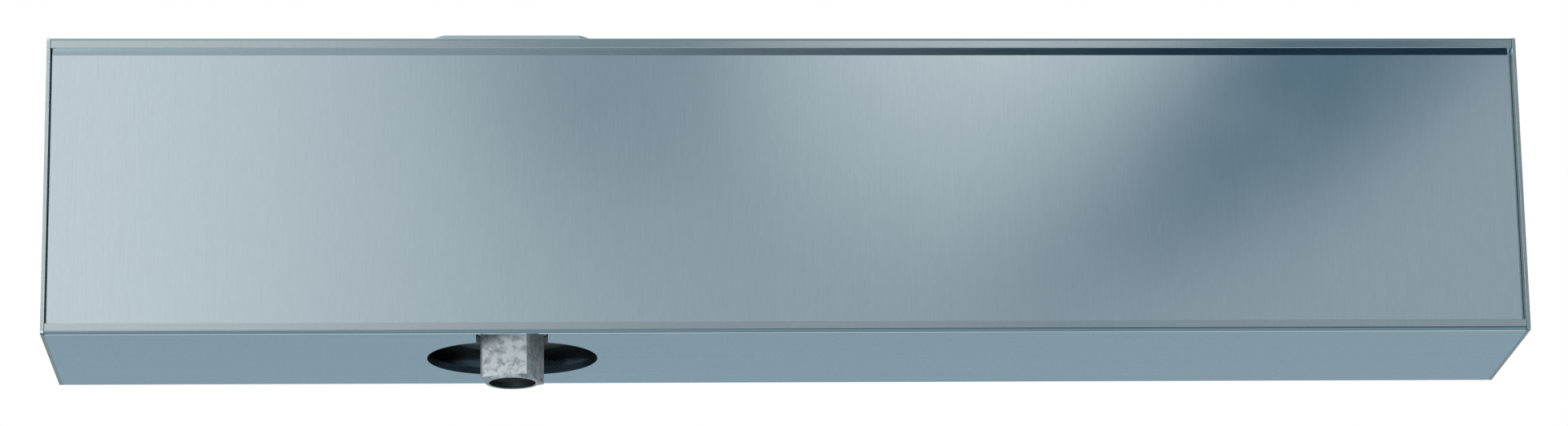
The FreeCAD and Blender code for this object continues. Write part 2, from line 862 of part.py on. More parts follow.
def coil_spring(start, end, radius, wire_radius, turns, left_handed):
    """Round wire wound along X, with both ends ground flat."""
    length = end - start
    pitch = length / turns
    path = Part.Wire(Part.makeHelix(pitch, length, radius, 0, left_handed))
    rise = math.atan2(pitch, 2 * math.pi * radius)
    tangent = V(0, math.cos(rise) * (-1 if left_handed else 1), math.sin(rise))
    ring = Part.Wire(Part.makeCircle(wire_radius, V(radius, 0, 0), tangent))
    wire = path.makePipeShell([ring], True, True)
    reach = radius + 2 * wire_radius
    wire = wire.common(Part.makeCylinder(reach, length))
    wire.Placement = FreeCAD.Placement(V(start, axis_y, 0), FreeCAD.Rotation(Z_AXIS, X_AXIS))
    return wire


def outer_spring():
    return coil_spring(
        piston_right, plate_left, outer_spring_radius, outer_wire_radius, outer_spring_turns, False
    )


def inner_spring():
    start = piston_right + spring_spigot_length
    end = plate_left - spring_spigot_length
    return coil_spring(start, end, inner_spring_radius, inner_wire_radius, inner_spring_turns, True)


def spring_plate():
    """Nut that the springs push on, kept from turning by a key in the bore."""
    spigot = plate_left - spring_spigot_length
    outer = bore_radius - plate_side_gap
    profile = [
        (spigot, screw_bore_radius),
        (spigot, spring_spigot_radius),
        (plate_left, spring_spigot_radius),
        (plate_left, outer),
        (plate_right, outer),
        (plate_right, screw_bore_radius),
    ]
    plate = turned(profile, V(0, axis_y, 0), X_AXIS)
    key_root = axis_y + (screw_bore_radius + outer) / 2
    key = block(
        (plate_left, plate_right),
        (key_root, axis_y + bore_radius + key_height),
        (-key_width / 2, key_width / 2),
    )
    return plate.fuse(key).removeSplitter()


def power_screw():
    tip = plate_left - spring_spigot_length - plate_travel
    head = body_right + power_screw_proud
    profile = [
        (tip, 0),
        (tip, power_screw_radius),
        (collar_left, power_screw_radius),
        (collar_left, collar_radius),
        (collar_right, collar_radius),
        (collar_right, power_screw_radius),
        (head, power_screw_radius),
        (head, 0),
    ]
    screw = turned(profile, V(0, axis_y, 0), X_AXIS)
    return screw.cut(hex_prism(V(head - power_hex_depth, axis_y, 0), V(head, axis_y, 0), power_hex))


def power_washer():
    return sleeve(collar_right, washer_right, screw_bore_radius, collar_radius, V(0, axis_y, 0), X_AXIS)


# Speed valves

valve_ring_floor = valve_radius - 2 * ring_section


def valve(x):
    """Slotted screw with a seal ring groove and a tapered tip over its gallery."""
    ring = valve_ring_offset
    shoulder = valve_length - valve_tip_length
    profile = [
        (0, 0),
        (0, valve_radius),
        (ring - ring_groove_half, valve_radius),
        (ring - ring_groove_half, valve_ring_floor),
        (ring + ring_groove_half, valve_ring_floor),
        (ring + ring_groove_half, valve_radius),
        (shoulder, valve_radius),
        (valve_length - fit_gap, valve_tip_radius),
        (valve_length - fit_gap, 0),
    ]
    screw = turned(profile, V(x, valve_head, lug_height), Y_AXIS)
    half = valve_slot_width / 2
    slot = block(
        (x - valve_radius, x + valve_radius),
        (valve_head, valve_head + valve_slot_depth),
        (lug_height - half, lug_height + half),
    )
    return screw.cut(slot)


def valve_seal(x):
    section = ring_section - ring_slack
    place = V(x, valve_head + valve_ring_offset, lug_height)
    return Part.makeTorus(valve_radius - section, section, place, Y_AXIS)


pieces = {
    "base_channel": base_channel(),
    "end_plate_left": end_plate(-1),
    "end_plate_right": end_plate(1),
    "end_plate_screws": Part.makeCompound([pan_screw(x, z) for x, z in end_screw_points]),
    "front_cover": front_cover(),
    "spindle_cap": spindle_cap(),
    "closer_body": closer_body(),
    "body_screws": Part.makeCompound([socket_screw(x, z) for x, z in body_screw_points]),
    "left_end_plug": left_end_plug(),
    "left_plug_seal": plug_seal(body_left, 1),
    "right_end_plug": right_end_plug(),
    "right_plug_seal": plug_seal(body_right, -1),
    "pinion_spindle": pinion_spindle(),
    "piston": piston(),
    "piston_seal": piston_seal(),
    "check_ball": check_ball(),
    "check_retainer": check_retainer(),
    "outer_spring": outer_spring(),
    "inner_spring": inner_spring(),
    "spring_plate": spring_plate(),
    "power_screw": power_screw(),
    "power_screw_seal": power_screw_seal(),
    "power_washer": power_washer(),
}
for name, level in (("upper", 1), ("lower", -1)):
    pieces[name + "_bearing_bush"] = bearing_bush(level)
    pieces[name + "_bush_seal"] = bush_seal(level)
    pieces[name + "_needle_bearing"] = needle_bearing(level)
    pieces[name + "_shaft_seal"] = shaft_seal(level)
    pieces[name + "_thrust_washer"] = thrust_washer(level)
for name, x in valve_points.items():
    pieces[name] = valve(x)
    pieces[name + "_seal"] = valve_seal(x)

os.makedirs("parts", exist_ok=True)
for name, shape in pieces.items():
    shape.exportStep("parts/" + name + ".step")

print("case", round(2 * case_half_length, 3), "x", round(-case_front, 3), "x", round(2 * case_half_height, 3))
print("spindle axis", round(spindle_x, 3), round(axis_y, 3), "travel", round(piston_travel, 3))
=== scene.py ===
import bpy
import json
import math
import numpy as np
from mathutils import Matrix, Vector


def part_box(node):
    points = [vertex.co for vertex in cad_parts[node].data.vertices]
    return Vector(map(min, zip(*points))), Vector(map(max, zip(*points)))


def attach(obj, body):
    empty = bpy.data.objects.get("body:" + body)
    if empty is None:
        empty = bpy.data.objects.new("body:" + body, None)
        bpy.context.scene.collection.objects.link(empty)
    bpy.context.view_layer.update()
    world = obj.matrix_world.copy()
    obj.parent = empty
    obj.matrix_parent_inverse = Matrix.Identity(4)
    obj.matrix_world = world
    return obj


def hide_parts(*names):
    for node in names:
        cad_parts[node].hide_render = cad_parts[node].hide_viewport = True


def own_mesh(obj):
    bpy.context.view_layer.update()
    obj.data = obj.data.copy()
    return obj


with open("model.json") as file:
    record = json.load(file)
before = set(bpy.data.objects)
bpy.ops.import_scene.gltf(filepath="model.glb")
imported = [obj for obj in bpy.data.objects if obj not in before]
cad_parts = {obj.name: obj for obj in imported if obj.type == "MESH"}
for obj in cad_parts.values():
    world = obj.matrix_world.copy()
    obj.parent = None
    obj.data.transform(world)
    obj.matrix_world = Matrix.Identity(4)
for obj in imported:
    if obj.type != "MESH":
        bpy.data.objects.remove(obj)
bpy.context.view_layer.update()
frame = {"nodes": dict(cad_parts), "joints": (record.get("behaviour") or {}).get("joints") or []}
nodes = frame["nodes"]
mm = 0.001
joints = {joint["name"]: joint for joint in frame["joints"]}
spindleAxis = tuple(place / mm for place in joints["spindle_turn"]["pos_m"][:2])   # x and y, in mm
print("frame loaded:", len(nodes), "CAD nodes")


# small helpers

def hexToLinear(text):
    # sRGB hex to scene linear, with alpha
    parts = np.array([int(text[k:k + 2], 16) for k in (1, 3, 5)]) / 255
    linear = np.where(parts <= 0.04045, parts / 12.92, ((parts + 0.055) / 1.055) ** 2.4)
    return (*linear.tolist(), 1.0)


def addNode(tree, kind, settings={}, links={}):
    # a setting is an attribute of the node or, if it has none of that name, a socket's value
    node = tree.nodes.new(kind)
    for key, value in settings.items():
        if isinstance(key, str) and hasattr(node, key):
            setattr(node, key, value)
        else:
            node.inputs[key].default_value = value
    for key, source in links.items():
        tree.links.new(source, node.inputs[key])
    return node


def startMaterial(name, settings):
    # a fresh material: its tree, its shader with the constant sockets set, and its place on the piece in mm
    material = bpy.data.materials.new(name)
    material.use_nodes = True
    tree = material.node_tree
    tree.nodes.clear()
    shader = addNode(tree, "ShaderNodeBsdfPrincipled", settings)
    addNode(tree, "ShaderNodeOutputMaterial", {}, {"Surface": shader.outputs[0]})
    place = addNode(tree, "ShaderNodeTexCoord").outputs["Object"]
    inMm = addNode(tree, "ShaderNodeVectorMath", {"operation": "SCALE", "Scale": 1 / mm}, {0: place})
    return material, tree, shader, inMm.outputs[0]


def finishMaterial(tree, shader, colour, rough, height, depth):
    # colour and roughness go to the shader, and height stands up from the surface by the depth in mm
    bump = addNode(tree, "ShaderNodeBump", {"Strength": 1.0, "Distance": depth * mm}, {"Height": height})
    for socket, source in (("Base Color", colour), ("Roughness", rough), ("Normal", bump.outputs[0])):
        tree.links.new(source, shader.inputs[socket])


def perMm(*sizes):
    # pattern scale from the real size of one mark along each axis, in mm
    return tuple(1 / size for size in sizes)


def sweepPiece(name, points, material):
    # an object from rows of points round a closed outline, in mm: each row joins the next, and both ends
    # are capped
    rows, across = points.shape[:2]
    row = np.arange(rows - 1)[:, None] * across
    here = np.arange(across)[None, :]
    after = (here + 1) % across
    corners = [row + here, row + after, row + across + after, row + across + here]
    faces = np.stack(corners, axis=-1).reshape(-1, 4).tolist()
    ends = [list(range(across))[::-1], list(range((rows - 1) * across, rows * across))]
    mesh = bpy.data.meshes.new(name)
    mesh.from_pydata((points.reshape(-1, 3) * mm).tolist(), [], faces + ends)
    mesh.materials.append(material)
    mesh.shade_smooth()
    piece = bpy.data.objects.new(name, mesh)
    bpy.context.scene.collection.objects.link(piece)
    return piece


def dress(material, *names):
    for name in names:
        mesh = nodes[name].data
        mesh.materials.clear()
        mesh.materials.append(material)


# camera, solved from the corners of the case in the photograph

cameraPlace = {
    "place": (-59.382, -1180.262, -314.374),   # mm
    "yaw": 2.9501,            # these three in degrees
    "pitch": 15.1937,
    "roll": -0.8808,
    "lens": 117.52,
    "sensor": 36.0,
    "clips": (0.02, 60.0),    # nearest and furthest that it sees, in metres
}


def makeCamera(s):
    yaw, pitch, roll = (math.radians(s[key]) for key in ("yaw", "pitch", "roll"))
    ahead = Vector((math.sin(yaw) * math.cos(pitch), math.cos(yaw) * math.cos(pitch), math.sin(pitch)))
    right = Vector((math.cos(yaw), -math.sin(yaw), 0))
    up = right.cross(ahead)
    tiltedRight = math.cos(roll) * right + math.sin(roll) * up
    tiltedUp = -math.sin(roll) * right + math.cos(roll) * up
    data = bpy.data.cameras.new("photoCamera")
    data.lens = s["lens"]
    data.sensor_width = s["sensor"]
    data.clip_start, data.clip_end = s["clips"]
    camera = bpy.data.objects.new("photoCamera", data)
    bpy.context.scene.collection.objects.link(camera)
    turn = Matrix((tiltedRight, tiltedUp, -ahead)).transposed().to_4x4()
    camera.matrix_world = Matrix.Translation(Vector(s["place"]) * mm) @ turn
    bpy.context.scene.camera = camera


makeCamera(cameraPlace)
print("camera placed")


# brushed aluminium of the front cover: wheel brushed from top to bottom on the panel and lengthways on the
# rims, then clear anodised; to the eye a cool soft mirror with fine upright lines, faintly mottled, and with
# outer edges painted darker, a painted shade along the seams

coverFinish = {
    "colour": "#ccdce3",
    "rimColour": "#c0cdd1",
    # painted shade: the outer edges of the rims take this darker colour, as the shade along the seams
    "seamShadeColour": "#8ba6b2",
    "roughness": 0.075,
    "rimRoughness": 0.08,
    "wear": 0.015,            # how far the roughness wanders
    "anisotropy": 0.25,
    "lineWidth": 0.3,         # real lines are about 0.1 mm, drawn wider so that they show
    "lineLength": 12.0,
    "lineTone": 0.02,
    "lineDepth": 0.0005,
    "mottleSize": (0.6, 0.6, 2.5),
    "mottleTone": 0.016,
    "toneSpan": (0.25, 0.75),   # most of the noise of lines and mottle lies in this
    "cloudSize": 45.0,
    "cloudSpan": (0.3, 0.7),
    "rimStart": 32.5,         # the rims start this far above and below the middle
    "rimBlend": 0.05,
    "edgeStart": 34.3,        # and their outer edges, painted darker as the shade along the seams, here
    "edgeBlend": 0.15,
}


def brushedAluminium(s):
    material, tree, shader, place = startMaterial(
        "brushedAluminium", {"Metallic": 1.0, "Anisotropic": s["anisotropy"]})
    wide, long = s["lineWidth"], s["lineLength"]
    upright = addNode(tree, "ShaderNodeMapping", {"Scale": perMm(wide, wide, long)}, {"Vector": place})
    lengthways = addNode(tree, "ShaderNodeMapping", {"Scale": perMm(long, wide, wide)}, {"Vector": place})
    height = addNode(tree, "ShaderNodeSeparateXYZ", {}, {0: place}).outputs["Z"]
    away = addNode(tree, "ShaderNodeMath", {"operation": "ABSOLUTE"}, {0: height})
    onRim = addNode(tree, "ShaderNodeMapRange", {
        "From Min": s["rimStart"] - s["rimBlend"], "From Max": s["rimStart"] + s["rimBlend"]}, {
        "Value": away.outputs[0]}).outputs[0]
    along = addNode(tree, "ShaderNodeMix", {"data_type": "VECTOR"}, {
        0: onRim, 4: upright.outputs[0], 5: lengthways.outputs[0]}).outputs[1]
    lines = addNode(tree, "ShaderNodeTexNoise", {
        "Scale": 1.0, "Detail": 3.0, "Roughness": 0.62}, {"Vector": along}).outputs["Fac"]
    clouds = addNode(tree, "ShaderNodeTexNoise", {
        "Scale": 1 / s["cloudSize"], "Detail": 2.0}, {"Vector": place}).outputs["Fac"]
    spots = addNode(tree, "ShaderNodeMapping", {"Scale": perMm(*s["mottleSize"])}, {"Vector": place})
    mottle = addNode(tree, "ShaderNodeTexNoise", {"Scale": 1.0, "Detail": 1.0}, {"Vector": spots.outputs[0]})
    low, high = s["toneSpan"]
    lineTone = addNode(tree, "ShaderNodeMapRange", {
        "From Min": low, "From Max": high, "To Min": 1 - s["lineTone"], "To Max": 1 + s["lineTone"]}, {
        "Value": lines})
    mottleTone = addNode(tree, "ShaderNodeMapRange", {
        "From Min": low, "From Max": high, "To Min": 1 - s["mottleTone"], "To Max": 1 + s["mottleTone"]}, {
        "Value": mottle.outputs["Fac"]})
    tone = addNode(tree, "ShaderNodeMath", {"operation": "MULTIPLY"}, {
        0: lineTone.outputs[0], 1: mottleTone.outputs[0]})
    # painted shade along the seams: the outer edges of the rims are mixed to the darker colour
    onEdge = addNode(tree, "ShaderNodeMapRange", {
        "From Min": s["edgeStart"] - s["edgeBlend"], "From Max": s["edgeStart"] + s["edgeBlend"]}, {
        "Value": away.outputs[0]})
    inner = addNode(tree, "ShaderNodeMix", {
        "data_type": "RGBA", 6: hexToLinear(s["colour"]), 7: hexToLinear(s["rimColour"])}, {0: onRim})
    colour = addNode(tree, "ShaderNodeMix", {"data_type": "RGBA", 7: hexToLinear(s["seamShadeColour"])}, {
        0: onEdge.outputs[0], 6: inner.outputs[2]})
    toned = addNode(tree, "ShaderNodeVectorMath", {"operation": "SCALE"}, {
        0: colour.outputs[2], "Scale": tone.outputs[0]})
    plain = addNode(tree, "ShaderNodeMapRange", {
        "To Min": s["roughness"], "To Max": s["rimRoughness"]}, {"Value": onRim}).outputs[0]
    low, high = s["cloudSpan"]
    worn = addNode(tree, "ShaderNodeMapRange", {
        "From Min": low, "From Max": high, "To Min": -s["wear"], "To Max": s["wear"]}, {
        "Value": clouds}).outputs[0]
    rough = addNode(tree, "ShaderNodeMath", {"operation": "ADD"}, {0: plain, 1: worn})
    finishMaterial(tree, shader, toned.outputs[0], rough.outputs[0], lines, s["lineDepth"])
    return material


dress(brushedAluminium(coverFinish), "front_cover")
print("front cover finished")


# drawn aluminium of the case: satin etched and anodised, so duller than the cover, with faint die lines
# along its length, and with painted shade on the walls of its arm openings

caseFinish = {
    "name": "satinAluminium",
    "colour": "#7c9ba8",
    "darkColour": "#6b8c9a",
    "edgeTint": "#dce3ea",    # the anodised skin keeps the metal from whitening at a low angle
    "roughness": 0.28,
    "wear": 0.015,            # how far the roughness wanders
    "dieLineWidth": 0.7,      # real die lines are finer, drawn wider so that they show
    "dieLineLength": 60.0,
    "etchSize": 0.9,
    "etchSpan": (0.3, 0.7),   # most of the noise of the etching lies in this
    "etchDepth": 0.0004,
    "openingMiddle": spindleAxis,
    "openingRun": 7.6,        # between the centres of its two round ends
    "openingRadius": 15.9,
    "openingBlend": (0.12, 0.06),   # past that radius the painted shade of the walls starts, and is full
    "rawAndShadeColour": "#50656e",   # walls of the arm openings, painted dark: painted shade
    "rawRoughness": 0.34,
}
# the end plates are pressed from rolled sheet, darker and greyer than the drawn channel
plateFinish = {
    **caseFinish,
    "name": "rolledAluminium",
    "colour": "#6c807d",
    "darkColour": "#627672",
    "innerFace": 169.187,
    "innerBlend": (0.08, 0.04),     # past that face the raw metal starts, and is full
    "rawAndShadeColour": "#717d7f",   # the inner face is left as it came from the mill
    "rawRoughness": 0.6,
    "frontHighlightColour": "#b4c0c2",  # and the front edge is painted lighter: a painted highlight
    "frontEdge": -49.7,
    "frontBlend": 0.1,
}


def openingWalls(tree, place, s):
    # 1 on the walls of the arm openings, where shade is painted: within their radius of the line that joins
    # the centres of their ends
    x, y = s["openingMiddle"]
    away = addNode(tree, "ShaderNodeVectorMath", {"operation": "SUBTRACT", 1: (x, y, 0)}, {0: place})
    apart = addNode(tree, "ShaderNodeSeparateXYZ", {}, {0: away.outputs[0]})
    along = addNode(tree, "ShaderNodeMath", {"operation": "ABSOLUTE"}, {0: apart.outputs["X"]})
    past = addNode(tree, "ShaderNodeMath", {"operation": "SUBTRACT", 1: s["openingRun"] / 2}, {
        0: along.outputs[0]})
    beyond = addNode(tree, "ShaderNodeMath", {"operation": "MAXIMUM", 1: 0.0}, {0: past.outputs[0]})
    flat = addNode(tree, "ShaderNodeCombineXYZ", {}, {"X": beyond.outputs[0], "Y": apart.outputs["Y"]})
    radius = addNode(tree, "ShaderNodeVectorMath", {"operation": "LENGTH"}, {0: flat.outputs[0]})
    start, full = (s["openingRadius"] + step for step in s["openingBlend"])
    return addNode(tree, "ShaderNodeMapRange", {"From Min": start, "From Max": full}, {
        "Value": radius.outputs["Value"]}).outputs[0]


def plateInside(tree, place, s):
    # 1 on the face of an end plate that looks into the case
    across = addNode(tree, "ShaderNodeSeparateXYZ", {}, {0: place})
    away = addNode(tree, "ShaderNodeMath", {"operation": "ABSOLUTE"}, {0: across.outputs["X"]})
    start, full = (s["innerFace"] + step for step in s["innerBlend"])
    return addNode(tree, "ShaderNodeMapRange", {"From Min": start, "From Max": full}, {
        "Value": away.outputs[0]}).outputs[0]


def satinAluminium(s, rawAndShadePart):
    material, tree, shader, place = startMaterial(s["name"], {
        "Metallic": 1.0, "Specular Tint": hexToLinear(s["edgeTint"])})
    wide, long = s["dieLineWidth"], s["dieLineLength"]
    along = addNode(tree, "ShaderNodeMapping", {"Scale": perMm(long, wide, wide)}, {"Vector": place})
    lines = addNode(tree, "ShaderNodeTexNoise", {"Scale": 1.0, "Detail": 2.0}, {"Vector": along.outputs[0]})
    etch = addNode(tree, "ShaderNodeTexNoise", {"Scale": 1 / s["etchSize"], "Detail": 3.0}, {"Vector": place})
    colour = addNode(tree, "ShaderNodeMix", {
        "data_type": "RGBA", 6: hexToLinear(s["darkColour"]), 7: hexToLinear(s["colour"])}, {
        0: lines.outputs["Fac"]})
    # on the case this mask paints shade on the opening walls; on the end plates it marks the mill finished
    # inner face
    rawAndShade = rawAndShadePart(tree, place, s)
    whole = addNode(tree, "ShaderNodeMix", {"data_type": "RGBA", 7: hexToLinear(s["rawAndShadeColour"])}, {
        0: rawAndShade, 6: colour.outputs[2]})
    # painted highlight: the front edges of the end plates take the lighter colour
    if "frontEdge" in s:
        depth = addNode(tree, "ShaderNodeSeparateXYZ", {}, {0: place})
        front = addNode(tree, "ShaderNodeMapRange", {
            "From Min": s["frontEdge"], "From Max": s["frontEdge"] - s["frontBlend"]}, {
            "Value": depth.outputs["Y"]})
        whole = addNode(tree, "ShaderNodeMix", {"data_type": "RGBA", 7: hexToLinear(s["frontHighlightColour"])}, {
            0: front.outputs[0], 6: whole.outputs[2]})
    low, high = s["etchSpan"]
    etched = addNode(tree, "ShaderNodeMapRange", {
        "From Min": low, "From Max": high,
        "To Min": s["roughness"] - s["wear"], "To Max": s["roughness"] + s["wear"]}, {
        "Value": etch.outputs["Fac"]})
    rough = addNode(tree, "ShaderNodeMix", {"data_type": "FLOAT", 3: s["rawRoughness"]}, {
        0: rawAndShade, 2: etched.outputs[0]})
    finishMaterial(tree, shader, whole.outputs[2], rough.outputs[0], etch.outputs["Fac"], s["etchDepth"])
    return material


dress(satinAluminium(caseFinish, openingWalls), "base_channel")
dress(satinAluminium(plateFinish, plateInside), "end_plate_left", "end_plate_right")
print("case finished")


# moulded ABS of the blanking cap: grey, with the fine spark grain of its mould

capFinish = {
    "colour": "#8d9a9f",
    "toneSpread": 0.06,
    "roughness": 0.48,
    "wear": 0.05,             # how far the roughness wanders
    "grainSize": 0.5,
    "grainDepth": 0.02,
    "ior": 1.53,
}


def mouldedAbs(s):
    material, tree, shader, place = startMaterial("mouldedAbs", {"IOR": s["ior"]})
    grain = addNode(tree, "ShaderNodeTexNoise", {"Scale": 1 / s["grainSize"], "Detail": 2.0}, {
        "Vector": place})
    tone = addNode(tree, "ShaderNodeMapRange", {
        "To Min": 1 - s["toneSpread"], "To Max": 1 + s["toneSpread"]}, {"Value": grain.outputs["Fac"]})
    toned = addNode(tree, "ShaderNodeVectorMath", {"operation": "SCALE", 0: hexToLinear(s["colour"])[:3]}, {
        "Scale": tone.outputs[0]})
    rough = addNode(tree, "ShaderNodeMapRange", {
        "To Min": s["roughness"] - s["wear"], "To Max": s["roughness"] + s["wear"]}, {
        "Value": grain.outputs["Fac"]})
    finishMaterial(tree, shader, toned.outputs[0], rough.outputs[0], grain.outputs["Fac"], s["grainDepth"])
    return material


dress(mouldedAbs(capFinish), "spindle_cap")


# black coated die casting of the closer body: sand blasted skin under a thin dull coat

bodyFinish = {
    "colour": "#0d1012",
    "paleColour": "#1b2023",
    "roughness": 0.55,
    "wear": 0.1,              # how far the roughness wanders
    "gloss": 0.2,
    "skinSize": 0.8,
    "skinDepth": 0.05,
    "patchSize": 14.0,
}


def coatedCasting(s):
    material, tree, shader, place = startMaterial("coatedCasting", {"Specular IOR Level": s["gloss"]})
    skin = addNode(tree, "ShaderNodeTexNoise", {"Scale": 1 / s["skinSize"], "Detail": 4.0}, {"Vector": place})
    patches = addNode(tree, "ShaderNodeTexNoise", {"Scale": 1 / s["patchSize"], "Detail": 3.0}, {
        "Vector": place})
    colour = addNode(tree, "ShaderNodeMix", {
        "data_type": "RGBA", 6: hexToLinear(s["colour"]), 7: hexToLinear(s["paleColour"])}, {
        0: patches.outputs["Fac"]})
    rough = addNode(tree, "ShaderNodeMapRange", {
        "To Min": s["roughness"] - s["wear"], "To Max": s["roughness"] + s["wear"]}, {
        "Value": skin.outputs["Fac"]})
    finishMaterial(tree, shader, colour.outputs[2], rough.outputs[0], skin.outputs["Fac"], s["skinDepth"])
    return material


dress(coatedCasting(bodyFinish), "closer_body")
print("cap and cast body finished")


# zinc plated steel of the spindle: milled flats under bright plating, with dull blotches and small pits, and
# a painted shade in the tapped holes, which are painted dark

spindleFinish = {
    "colour": "#d3dcdf",
    "blotchColour": "#a6aeb0",
    "edgeTint": "#4a5052",    # the chromate over the zinc dulls it at a low angle
    "roughness": 0.56,
    "dulling": 0.14,          # added to the roughness in a blotch
    "blotchSize": 1.6,
    "blotchSpan": (0.44, 0.66),   # noise at which a blotch starts, and is full
    "pitSize": 0.8,
    "pitDepth": 0.01,
    "axis": spindleAxis,
    "boreRadius": 5.36,       # inside this the steel is painted dark, a painted shade in the hole
    "boreBlend": 0.08,
    # painted shade: the dark colour inside the tapped hole
    "boreShadeColour": "#3c4446",
}


def platedSteel(s):
    material, tree, shader, place = startMaterial("platedSteel", {
        "Metallic": 1.0, "Specular Tint": hexToLinear(s["edgeTint"])})
    blotches = addNode(tree, "ShaderNodeTexNoise", {
        "Scale": 1 / s["blotchSize"], "Detail": 3.0, "Roughness": 0.6}, {"Vector": place})
    pits = addNode(tree, "ShaderNodeTexNoise", {"Scale": 1 / s["pitSize"], "Detail": 2.0}, {"Vector": place})
    start, full = s["blotchSpan"]
    dull = addNode(tree, "ShaderNodeMapRange", {"From Min": start, "From Max": full}, {
        "Value": blotches.outputs["Fac"]}).outputs[0]
    colour = addNode(tree, "ShaderNodeMix", {
        "data_type": "RGBA", 6: hexToLinear(s["colour"]), 7: hexToLinear(s["blotchColour"])}, {0: dull})
    fromAxis = addNode(tree, "ShaderNodeVectorMath", {"operation": "SUBTRACT", 1: (*s["axis"], 0)}, {
        0: place})
    flat = addNode(tree, "ShaderNodeVectorMath", {"operation": "MULTIPLY", 1: (1, 1, 0)}, {
        0: fromAxis.outputs[0]})
    radius = addNode(tree, "ShaderNodeVectorMath", {"operation": "LENGTH"}, {0: flat.outputs[0]})
    # painted shade: the bore and its thread take the dark colour
    inBore = addNode(tree, "ShaderNodeMapRange", {
        "From Min": s["boreRadius"] + s["boreBlend"], "From Max": s["boreRadius"]}, {
        "Value": radius.outputs["Value"]})
    whole = addNode(tree, "ShaderNodeMix", {"data_type": "RGBA", 7: hexToLinear(s["boreShadeColour"])}, {
        0: inBore.outputs[0], 6: colour.outputs[2]})
    rough = addNode(tree, "ShaderNodeMapRange", {
        "To Min": s["roughness"], "To Max": s["roughness"] + s["dulling"]}, {"Value": dull})
    finishMaterial(tree, shader, whole.outputs[2], rough.outputs[0], pits.outputs["Fac"], s["pitDepth"])
    return material


spindleSteel = platedSteel(spindleFinish)
dress(spindleSteel, "pinion_spindle")


# thread of the arm screw hole, M8: a ridge wound up the wall of the hole

holeThread = {
    "axis": spindleAxis,
    "start": -37.2,           # first turn, just inside the cone of the mouth
    "turns": 9.0,
    "pitch": 1.25,
    "wall": 3.4,
    "ridge": 0.26,
    "halfFoot": 0.46,         # half widths of the ridge in pitches, at its foot
    "halfFlank": 0.25,        # and half way up
    "sunk": 0.03,             # the foot of the ridge lies this deep in the wall
    "runOut": 0.25,           # turns over which each end fades
    "thinnest": 0.05,
    "stepsPerTurn": 40,
}


def makeHoleThread(s):
    # a closed five point outline carried up a helix: the angle grows with u while the height grows by one
    # pitch a turn, and the outline shrinks to almost nothing over the first and last quarter turn
    steps = int(s["turns"] * s["stepsPerTurn"]) + 1
    u = np.linspace(0, s["turns"], steps)[:, None]
    fade = np.clip(np.minimum(u, s["turns"] - u) / s["runOut"], s["thinnest"], 1)
    foot, crest = -s["sunk"], s["ridge"]
    inward = np.array([foot, 0.5 * crest, crest, 0.5 * crest, foot])[None, :]
    wide, narrow = s["halfFoot"], s["halfFlank"]
    rise = np.array([-wide, -narrow, 0.0, narrow, wide])[None, :] * s["pitch"]
    radius = s["wall"] + s["sunk"] - fade * (inward + s["sunk"])
    angle = 2 * math.pi * u + 0 * rise
    x = s["axis"][0] + radius * np.cos(angle)
    y = s["axis"][1] + radius * np.sin(angle)
    z = s["start"] + s["pitch"] * u + fade * rise
    thread = sweepPiece("armHoleThread", np.stack([x, y, z], axis=-1), spindleSteel)
    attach(thread, "spindle")


makeHoleThread(holeThread)
print("spindle finished")


# the inner metals and seals: each a base colour, a darker tone in its own small pattern, and a fine bump

innerFinishes = {
    # turned steel: bright, with the rings of the lathe tool
    "turnedSteel": {"colour": "#b9bdc0", "darkColour": "#8f9498", "metal": 1.0, "roughness": 0.3,
                    "mark": (0.5, 4.0, 4.0), "depth": 0.006,
                    "on": ("piston", "spring_plate", "power_screw", "left_end_plug", "right_end_plug",
                           "upper_bearing_bush", "lower_bearing_bush", "check_retainer")},
    # ground bearing steel: the smoothest of the steels
    "groundSteel": {"colour": "#cdd1d4", "darkColour": "#b4b9bd", "metal": 1.0, "roughness": 0.16,
                    "mark": (3.0, 3.0, 3.0), "depth": 0.001,
                    "on": ("upper_needle_bearing", "lower_needle_bearing", "upper_thrust_washer",
                           "lower_thrust_washer", "check_ball", "power_washer")},
    # phosphated spring wire: dark grey with a fine crystal bloom
    "phosphatedWire": {"colour": "#565a5e", "darkColour": "#3a3d40", "metal": 1.0, "roughness": 0.5,
                       "mark": (0.4, 0.4, 0.4), "depth": 0.008,
                       "on": ("outer_spring", "inner_spring")},
    # zinc plated screws: pale with a slight blue bloom
    "zincPlate": {"colour": "#ccd3d8", "darkColour": "#aab4bb", "metal": 1.0, "roughness": 0.28,
                  "mark": (1.2, 1.2, 1.2), "depth": 0.004,
                  "on": ("body_screws", "end_plate_screws")},
    # turned brass of the speed valves
    "turnedBrass": {"colour": "#cfae64", "darkColour": "#b08f49", "metal": 1.0, "roughness": 0.27,
                    "mark": (2.0, 0.4, 2.0), "depth": 0.005,
                    "on": ("closing_valve", "latching_valve", "backcheck_valve")},
    # nitrile rubber of the seals: black, dull and a little dusty
    "nitrileRubber": {"colour": "#1a1b1c", "darkColour": "#0e0f10", "metal": 0.0, "roughness": 0.62,
                      "mark": (0.6, 0.6, 0.6), "depth": 0.01,
                      "on": ("left_plug_seal", "right_plug_seal", "upper_bush_seal", "lower_bush_seal",
                             "upper_shaft_seal", "lower_shaft_seal", "power_screw_seal", "piston_seal",
                             "closing_valve_seal", "latching_valve_seal", "backcheck_valve_seal")},
}
innerWear = 0.05   # how far their roughness wanders


